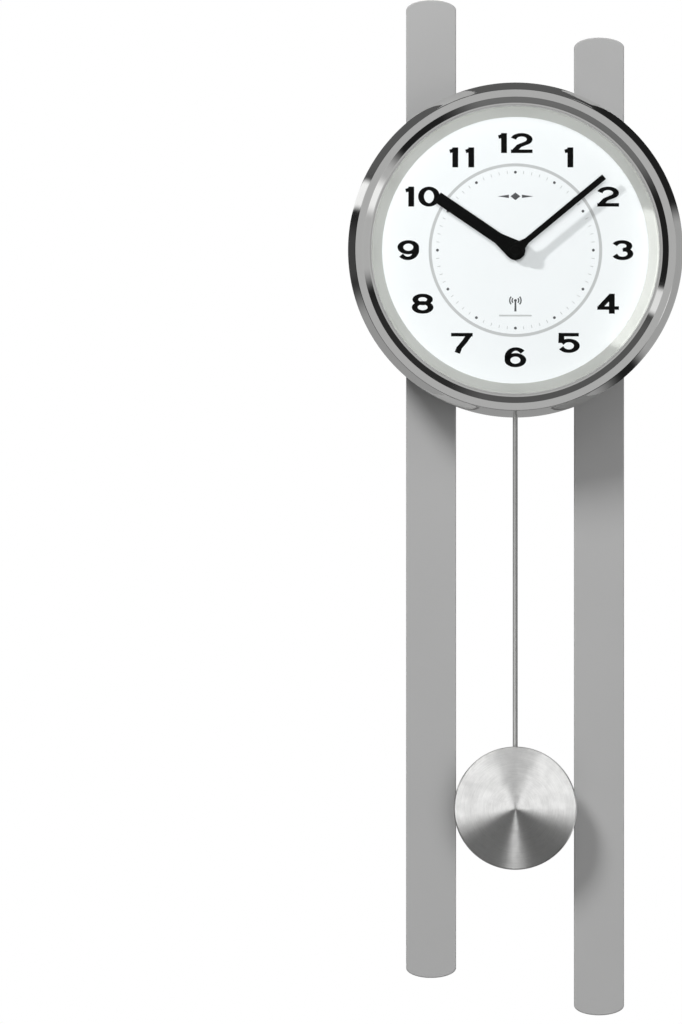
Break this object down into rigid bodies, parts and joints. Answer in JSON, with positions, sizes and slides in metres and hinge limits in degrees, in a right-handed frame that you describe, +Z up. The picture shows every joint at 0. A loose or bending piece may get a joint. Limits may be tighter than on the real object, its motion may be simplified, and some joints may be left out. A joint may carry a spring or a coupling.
{
  "type": "pendulum wall clock",
  "caption": "Pendulum wall clock: round chrome-rimmed dial with baton hands on staggered upright flat bars, and a rod with a cone-faced bob swinging between them.",
  "frame": {"origin": "on the back face of the hanging plate, on the middle line, 6.6 mm above the top of the keyhole slot; the wall plane is Y = 0 and the centre of the dial is 83 mm below", "axes": "+Z up along the bars, +X to the right as seen from the front, +Y into the wall, so the dial faces -Y"},
  "size_m": [0.201, 0.0515, 0.6105],
  "materials": {
    "satin_aluminium": "satin silver lacquer with a very fine grain",
    "chrome": "polished",
    "spun_aluminium": "circular brushed",
    "galvanised_steel": "zinc plated",
    "steel": "plain bright steel",
    "screw_steel": "zinc plated",
    "rod_steel": "satin, drawn along its length",
    "brass": "machined",
    "copper_wire": "enamelled copper wire, wound",
    "dial_white": "matt white print",
    "hand_black": "satin black",
    "black_plastic": "moulded, fine texture",
    "grey_plastic": "moulded, fine texture",
    "white_plastic": "moulded acetal",
    "rubber": "matt",
    "ferrite": "fired, matt",
    "board": "solder-masked laminate",
    "battery_jacket": "plain printed sleeve",
    "glass": "clear, flat"
  },
  "bodies": {
    "clock": {"left_bar": "satin_aluminium", "right_bar": "satin_aluminium", "bezel": "chrome", "reflector_ring": "spun_aluminium", "hanging_plate": "galvanised_steel", "stator": "steel", "quartz_crystal": "steel", "positive_contact": "steel", "negative_contact": "steel", "lever_pivot_pin": "steel", "plate_screw_left_1": "screw_steel", "plate_screw_left_2": "screw_steel", "plate_screw_right_1": "screw_steel", "plate_screw_right_2": "screw_steel", "case_screw_left_1": "screw_steel", "case_screw_left_2": "screw_steel", "case_screw_right_1": "screw_steel", "case_screw_right_2": "screw_steel", "fixing_nut": "brass", "motor_coil": "copper_wire", "antenna_coil": "copper_wire", "drive_coil": "copper_wire", "dial": "dial_white", "front_housing": "black_plastic", "rear_housing": "black_plastic", "case_pan": "grey_plastic", "rubber_washer": "rubber", "left_wall_bumper": "rubber", "right_wall_bumper": "rubber", "ferrite_rod": "ferrite", "circuit_board": "board", "battery": "battery_jacket", "lens": "glass"},
    "minute_arbor": {"centre_wheel": "brass", "minute_hand": "hand_black", "hand_nut": "hand_black"},
    "hour_tube": {"hour_wheel": "white_plastic", "hour_hand": "hand_black"},
    "motion_work": {"motion_work_wheel": "white_plastic"},
    "drive": {"drive_wheel": "white_plastic"},
    "motor": {"rotor": "steel"},
    "pendulum": {"pendulum_lever": "white_plastic", "lever_magnet": "steel", "pendulum_rod": "rod_steel", "bob_cone": "spun_aluminium", "bob_weight": "galvanised_steel", "bob_clip": "black_plastic", "bob_rivet": "steel"},
    "set_key": {"set_button": "white_plastic"},
    "wave_key": {"wave_button": "white_plastic"},
    "reset_key": {"reset_button": "white_plastic"}
  },
  "joints": [
    {"name": "minute_hand_turn", "type": "hinge", "parent": "clock", "child": "minute_arbor", "pos_m": [0, -0.03, -0.083], "axis": [0, 1, 0], "continuous": true},
    {"name": "hour_hand_turn", "type": "hinge", "parent": "clock", "child": "hour_tube", "pos_m": [0, -0.03, -0.083], "axis": [0, 1, 0], "continuous": true},
    {"name": "motion_work_turn", "type": "hinge", "parent": "clock", "child": "motion_work", "pos_m": [0.004, -0.024, -0.08993], "axis": [0, 1, 0], "continuous": true},
    {"name": "drive_wheel_turn", "type": "hinge", "parent": "clock", "child": "drive", "pos_m": [-0.00742, -0.02, -0.09042], "axis": [0, 1, 0], "continuous": true},
    {"name": "rotor_turn", "type": "hinge", "parent": "clock", "child": "motor", "pos_m": [-0.0105, -0.018, -0.09888], "axis": [0, 1, 0], "continuous": true},
    {"name": "pendulum_swing", "type": "hinge", "parent": "clock", "child": "pendulum", "pos_m": [0, -0.024, -0.117], "axis": [0, 1, 0], "range_deg": [-5, 5]},
    {"name": "set_button_press", "type": "slide", "parent": "clock", "child": "set_key", "axis": [0, -1, 0], "range_m": [0, 0.0008], "stiffness_N_per_m": 200},
    {"name": "wave_button_press", "type": "slide", "parent": "clock", "child": "wave_key", "axis": [0, -1, 0], "range_m": [0, 0.0008], "stiffness_N_per_m": 200},
    {"name": "reset_button_press", "type": "slide", "parent": "clock", "child": "reset_key", "axis": [0, -1, 0], "range_m": [0, 0.0008], "stiffness_N_per_m": 200}
  ],
  "couplings": [
    {"joint": "hour_hand_turn", "follows": "minute_hand_turn", "ratio": 0.083333},
    {"joint": "motion_work_turn", "follows": "minute_hand_turn", "ratio": -0.33333},
    {"joint": "drive_wheel_turn", "follows": "minute_hand_turn", "ratio": -6},
    {"joint": "rotor_turn", "follows": "minute_hand_turn", "ratio": 30}
  ]
}
